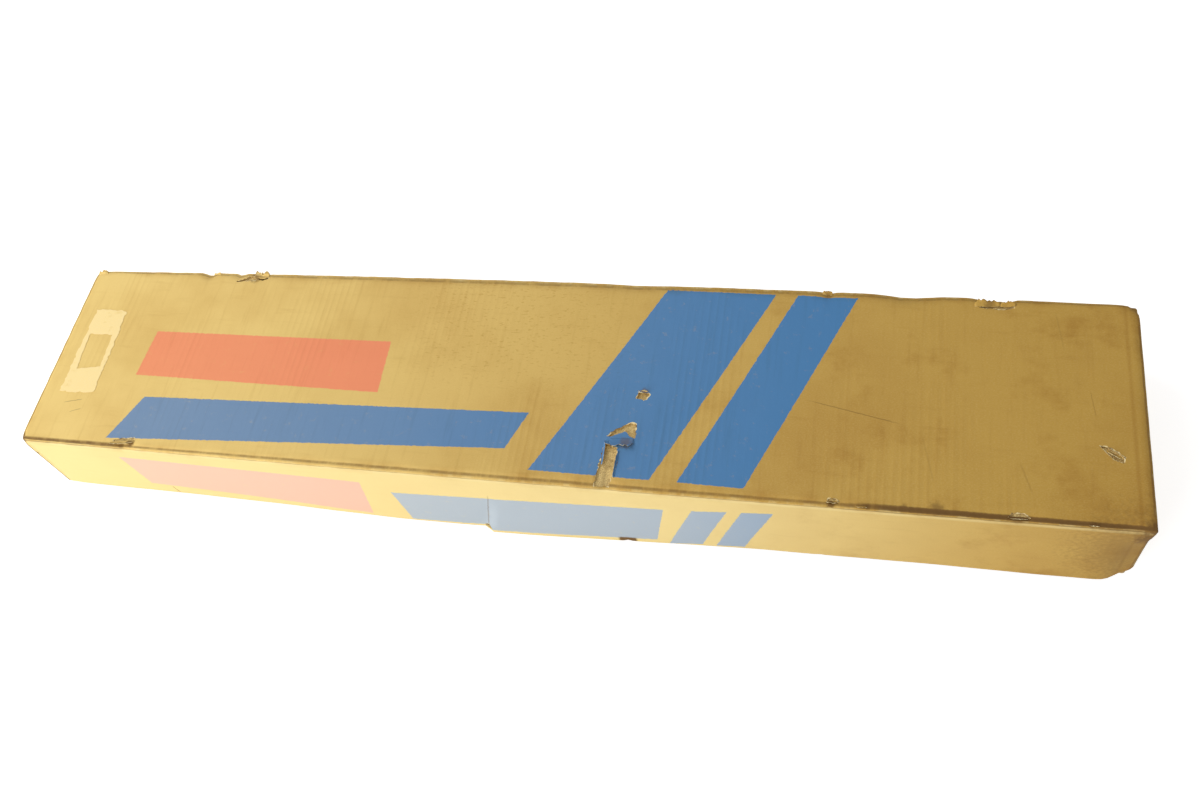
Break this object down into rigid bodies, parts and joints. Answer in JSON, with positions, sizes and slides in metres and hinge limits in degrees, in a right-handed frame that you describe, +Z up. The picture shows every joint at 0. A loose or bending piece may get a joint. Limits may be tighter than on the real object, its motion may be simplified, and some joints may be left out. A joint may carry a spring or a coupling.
{
  "type": "knitting machine",
  "caption": "Flat-bed punch-card knitting machine in its steel case, packed in a long telescoping corrugated carton with a full-depth lid.",
  "frame": {"origin": "centre of the carton's footprint, on the surface it stands on", "axes": "+X along the carton to the right as seen from the front, +Y to the back, +Z up"},
  "size_m": [1.16, 0.238, 0.105],
  "materials": {
    "kraft_board": "aged kraft corrugated board, matt",
    "foam": "expanded polystyrene, matt",
    "paper": "uncoated paper",
    "card_plastic": "thin plastic sheet, satin",
    "cream_enamel": "stoved enamel on steel sheet",
    "bright_steel": "bright plated steel",
    "zinc_steel": "zinc-plated steel, satin",
    "cream_plastic": "moulded plastic, satin",
    "blue_plastic": "moulded plastic, gloss",
    "dark_plastic": "moulded plastic, matt",
    "grey_plastic": "moulded plastic, matt",
    "rubber": "moulded rubber, matt",
    "nylon_brush": "nylon bristle"
  },
  "bodies": {
    "carton_tray": {"carton_tray": "kraft_board", "foam_end_left": "foam", "foam_end_right": "foam"},
    "carton_lid": {"carton_lid": "kraft_board"},
    "machine": {"base_pan": "cream_enamel", "foot_front_left": "rubber", "foot_front_right": "rubber", "foot_rear_left": "rubber", "foot_rear_right": "rubber", "needle_bed": "zinc_steel", "needle_retainer": "bright_steel", "front_rail": "bright_steel", "rear_rail": "bright_steel", "gate_peg_rail": "bright_steel", "end_cap_left": "cream_plastic", "end_cap_right": "cream_plastic", "card_housing": "cream_plastic", "counter_housing": "blue_plastic", "mast_lower_rod": "bright_steel", "mast_upper_rod": "bright_steel", "take_up_spring_front": "bright_steel", "take_up_spring_rear": "bright_steel", "tension_unit": "cream_plastic", "table_clamp_left": "zinc_steel", "table_clamp_right": "zinc_steel", "tool_tray": "grey_plastic", "latch_tool": "blue_plastic", "transfer_tool": "cream_plastic"},
    "case_cover": {"case_cover": "cream_enamel", "carry_strap": "dark_plastic", "strap_cap_left": "bright_steel", "strap_cap_right": "bright_steel", "instruction_booklet": "paper", "punch_card_pack": "card_plastic"},
    "catch_left": {"catch_left": "bright_steel"},
    "catch_right": {"catch_right": "bright_steel"},
    "needles": {"needle_row": "bright_steel"},
    "card_roller": {"card_roller": "dark_plastic", "card_feed_knob": "blue_plastic"},
    "card_stop_lever": {"card_stop_lever": "blue_plastic"},
    "counter_units": {"counter_wheel_units": "dark_plastic", "counter_reset_knob": "cream_plastic"},
    "counter_tens": {"counter_wheel_tens": "dark_plastic"},
    "counter_hundreds": {"counter_wheel_hundreds": "dark_plastic"},
    "carriage": {"carriage_plate": "zinc_steel", "carriage_housing": "cream_plastic", "sinker_arm": "zinc_steel", "yarn_feeder": "dark_plastic"},
    "carriage_handle": {"carriage_handle": "dark_plastic"},
    "stitch_dial": {"stitch_dial": "blue_plastic"},
    "cam_knob": {"cam_knob": "dark_plastic"},
    "side_lever_left": {"side_lever_left": "blue_plastic"},
    "side_lever_right": {"side_lever_right": "blue_plastic"},
    "thumb_screw_left": {"thumb_screw_left": "bright_steel"},
    "thumb_screw_right": {"thumb_screw_right": "bright_steel"},
    "brush_wheel_left": {"brush_wheel_left": "nylon_brush"},
    "brush_wheel_right": {"brush_wheel_right": "nylon_brush"},
    "clamp_screw_left": {"clamp_screw_left": "bright_steel"},
    "clamp_screw_right": {"clamp_screw_right": "bright_steel"}
  },
  "joints": [
    {"name": "lid_lift", "type": "slide", "parent": "carton_tray", "child": "carton_lid", "axis": [0, 0, 1], "range_m": [0, 0.6]},
    {"name": "machine_lift", "type": "slide", "parent": "carton_tray", "child": "machine", "axis": [0, 0, 1], "range_m": [0, 0.2]},
    {"name": "cover_lift", "type": "slide", "parent": "machine", "child": "case_cover", "axis": [0, 0, 1], "range_m": [0, 0.2]},
    {"name": "catch_left_slide", "type": "slide", "parent": "case_cover", "child": "catch_left", "axis": [-1, 0, 0], "range_m": [0, 0.008]},
    {"name": "catch_right_slide", "type": "slide", "parent": "case_cover", "child": "catch_right", "axis": [1, 0, 0], "range_m": [0, 0.008]},
    {"name": "needle_slide", "type": "slide", "parent": "machine", "child": "needles", "axis": [0, -1, 0], "range_m": [0, 0.028]},
    {"name": "card_feed", "type": "hinge", "parent": "machine", "child": "card_roller", "pos_m": [0, 0.0755, 0.04], "axis": [1, 0, 0], "continuous": true},
    {"name": "card_stop_swing", "type": "hinge", "parent": "machine", "child": "card_stop_lever", "pos_m": [-0.0933, 0.084, 0.026], "axis": [1, 0, 0], "range_deg": [-8, 20]},
    {"name": "counter_units_turn", "type": "hinge", "parent": "machine", "child": "counter_units", "pos_m": [0.158, 0.072, 0.034], "axis": [1, 0, 0], "continuous": true},
    {"name": "counter_tens_turn", "type": "hinge", "parent": "machine", "child": "counter_tens", "pos_m": [0.149, 0.072, 0.034], "axis": [1, 0, 0], "continuous": true},
    {"name": "counter_hundreds_turn", "type": "hinge", "parent": "machine", "child": "counter_hundreds", "pos_m": [0.141, 0.072, 0.034], "axis": [1, 0, 0], "continuous": true},
    {"name": "carriage_slide", "type": "slide", "parent": "machine", "child": "carriage", "axis": [1, 0, 0], "range_m": [-0.36, 0.36]},
    {"name": "handle_fold", "type": "hinge", "parent": "carriage", "child": "carriage_handle", "pos_m": [0, 0.036, 0.058], "axis": [-1, 0, 0], "range_deg": [0, 90]},
    {"name": "stitch_dial_turn", "type": "hinge", "parent": "carriage", "child": "stitch_dial", "pos_m": [0, -0.008, 0.066], "axis": [0, 0, 1], "range_deg": [0, 300]},
    {"name": "cam_knob_turn", "type": "hinge", "parent": "carriage", "child": "cam_knob", "pos_m": [0.036, 0.03, 0.066], "axis": [0, 0, 1], "range_deg": [0, 180]},
    {"name": "side_lever_left_swing", "type": "hinge", "parent": "carriage", "child": "side_lever_left", "pos_m": [-0.07, 0.02, 0.066], "axis": [0, 0, 1], "range_deg": [-25, 25]},
    {"name": "side_lever_right_swing", "type": "hinge", "parent": "carriage", "child": "side_lever_right", "pos_m": [0.07, 0.02, 0.066], "axis": [0, 0, 1], "range_deg": [-25, 25]},
    {"name": "thumb_screw_left_turn", "type": "hinge", "parent": "carriage", "child": "thumb_screw_left", "pos_m": [-0.06, -0.0515, 0.0353], "axis": [0, 0, 1], "continuous": true},
    {"name": "thumb_screw_right_turn", "type": "hinge", "parent": "carriage", "child": "thumb_screw_right", "pos_m": [0.06, -0.0515, 0.0353], "axis": [0, 0, 1], "continuous": true},
    {"name": "brush_wheel_left_spin", "type": "hinge", "parent": "carriage", "child": "brush_wheel_left", "pos_m": [-0.045, -0.078, 0.0353], "axis": [0, 0, 1], "continuous": true},
    {"name": "brush_wheel_right_spin", "type": "hinge", "parent": "carriage", "child": "brush_wheel_right", "pos_m": [0.045, -0.078, 0.0353], "axis": [0, 0, 1], "continuous": true},
    {"name": "clamp_screw_left_turn", "type": "hinge", "parent": "machine", "child": "clamp_screw_left", "pos_m": [0.44, 0.0715, 0.0204], "axis": [1, 0, 0], "continuous": true},
    {"name": "clamp_screw_right_turn", "type": "hinge", "parent": "machine", "child": "clamp_screw_right", "pos_m": [0.515, 0.0715, 0.0204], "axis": [1, 0, 0], "continuous": true}
  ],
  "couplings": [
    {"joint": "machine_lift", "follows": "lid_lift", "ratio": 0.33333},
    {"joint": "cover_lift", "follows": "lid_lift", "ratio": 0.33333},
    {"joint": "handle_fold", "follows": "lid_lift", "rad_per_m": 2.618},
    {"joint": "counter_tens_turn", "follows": "counter_units_turn", "ratio": 0.1},
    {"joint": "counter_hundreds_turn", "follows": "counter_units_turn", "ratio": 0.01}
  ]
}
